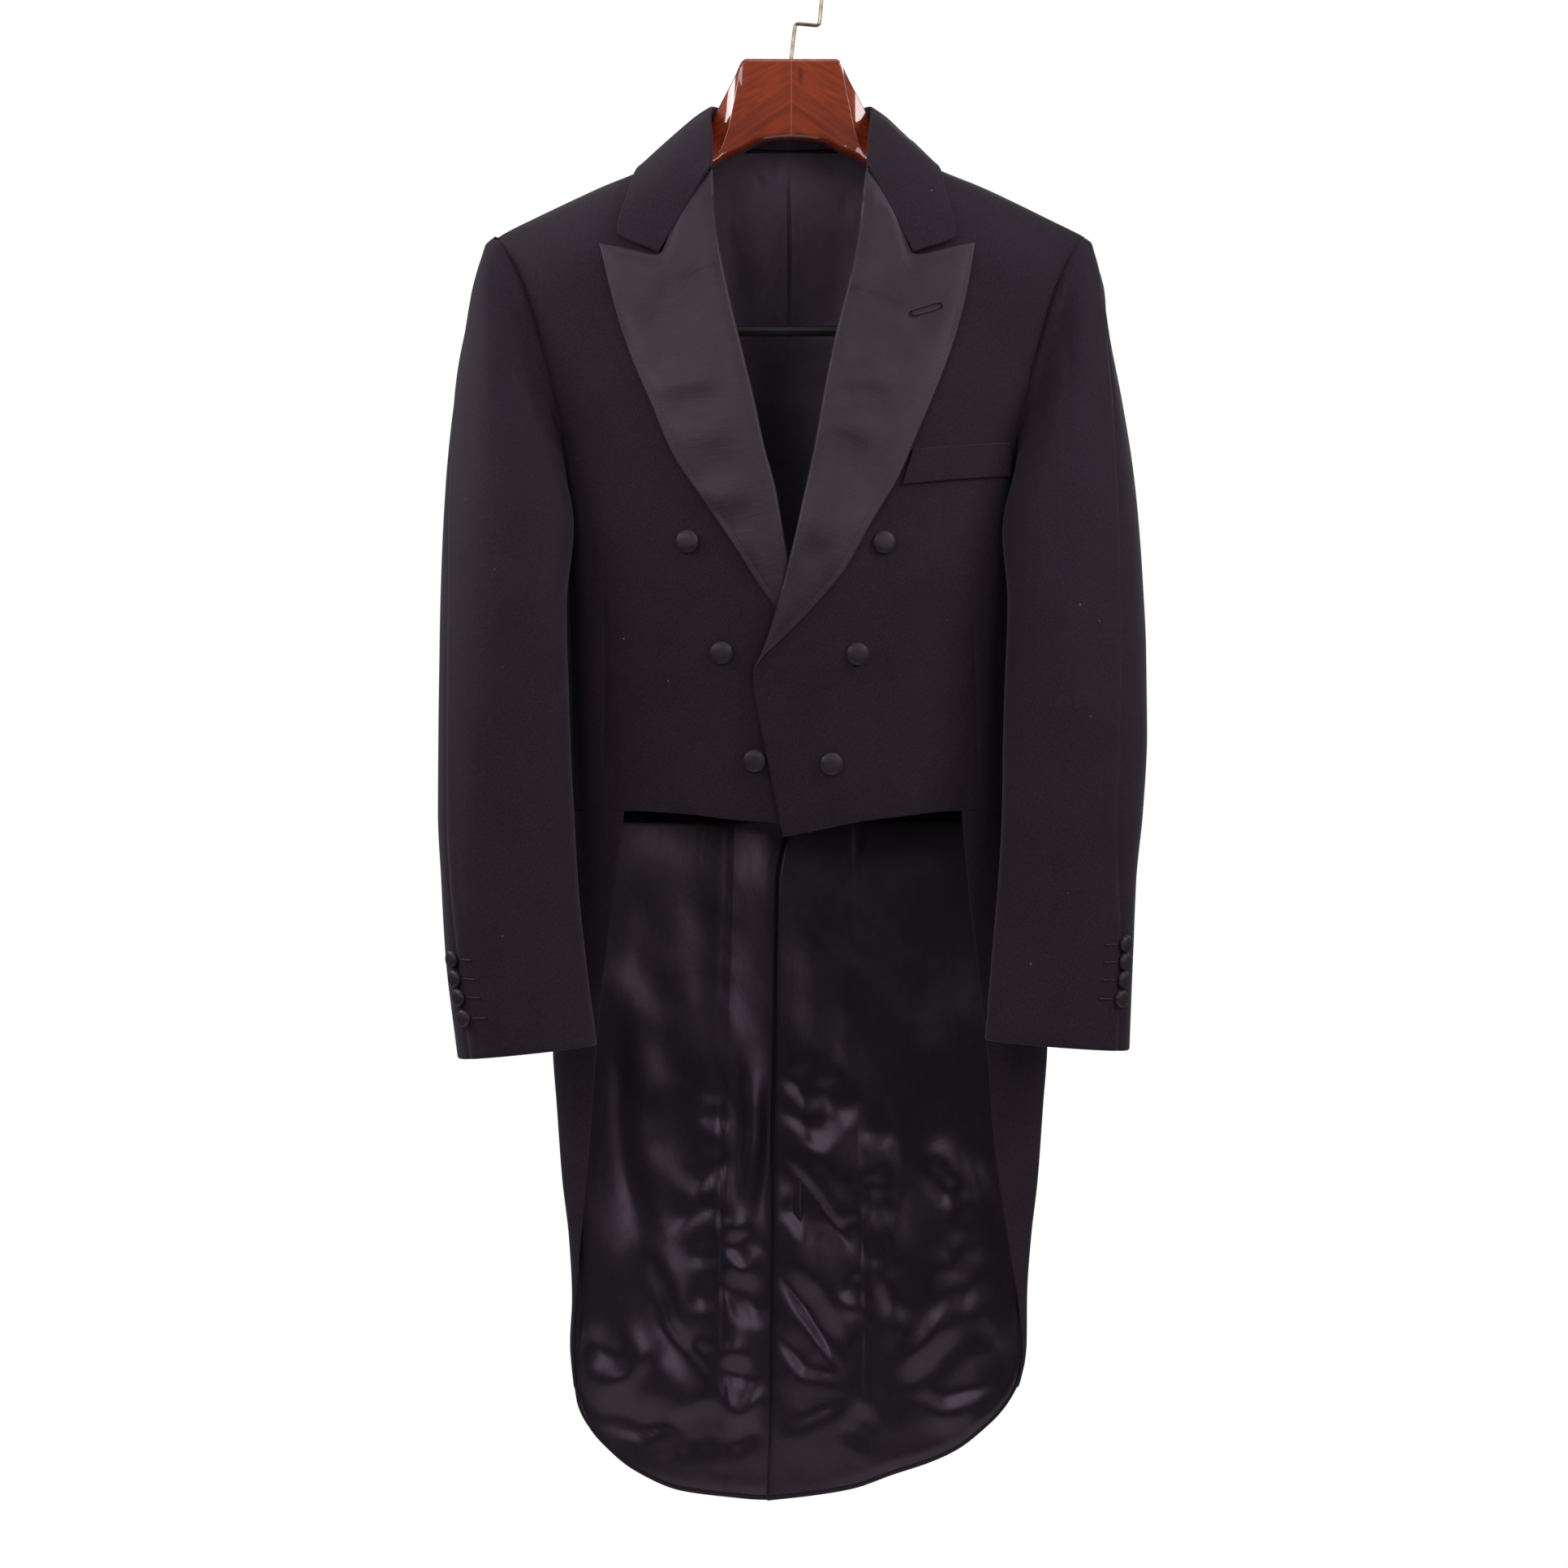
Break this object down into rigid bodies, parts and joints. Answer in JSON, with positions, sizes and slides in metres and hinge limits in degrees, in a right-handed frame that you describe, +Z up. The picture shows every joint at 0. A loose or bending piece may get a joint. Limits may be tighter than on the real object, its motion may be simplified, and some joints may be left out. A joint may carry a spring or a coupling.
{
  "type": "tailcoat on a hanger",
  "caption": "White tie evening tailcoat with peaked satin lapels, short front and two long tails, hung open-necked on a contoured wooden hanger with a wire hook.",
  "frame": {"origin": "the hook mount: the inside top of the hook's loop, where the wire rests on the rail", "axes": "+Z up along the hanging coat, +X to the wearer's left (the viewer's right), the coat's front faces -Y"},
  "size_m": [0.5441, 0.1679, 1.2157],
  "materials": {
    "wool": "black worsted wool, fine weave, matt with a faint sheen",
    "lapel_satin": "black silk satin, soft sheen",
    "tail_lining": "black lining satin, smooth and slightly glossy",
    "back_lining": "black lining satin, smooth",
    "button_satin": "black silk satin over a domed button",
    "hanger_wood": "red-brown stained wood under clear gloss lacquer",
    "hook_metal": "pale gold-nickel plated wire, satin gloss",
    "bar_metal": "black enamel"
  },
  "bodies": {
    "root": {"back_left": "wool", "back_right": "wool", "collar": "wool", "cuff_button_left_1": "button_satin", "cuff_button_left_2": "button_satin", "cuff_button_left_3": "button_satin", "cuff_button_left_4": "button_satin", "cuff_button_right_1": "button_satin", "cuff_button_right_2": "button_satin", "cuff_button_right_3": "button_satin", "cuff_button_right_4": "button_satin", "front_button_1": "button_satin", "front_button_2": "button_satin", "front_button_3": "button_satin", "front_button_4": "button_satin", "front_button_5": "button_satin", "front_button_6": "button_satin", "front_left": "wool", "front_right": "wool", "hanger_bar": "bar_metal", "hanger_body": "hanger_wood", "hanger_hook": "hook_metal", "lapel_left": "lapel_satin", "lapel_right": "lapel_satin", "lining_back": "back_lining", "lining_tail_left": "tail_lining", "lining_tail_right": "tail_lining", "pocket_welt": "wool", "side_left": "wool", "side_right": "wool", "skirt_left": "wool", "skirt_right": "wool", "sleeve_top_left": "wool", "sleeve_top_right": "wool", "sleeve_under_left": "wool", "sleeve_under_right": "wool", "waist_button_left": "button_satin", "waist_button_right": "button_satin"}
  },
  "joints": []
}
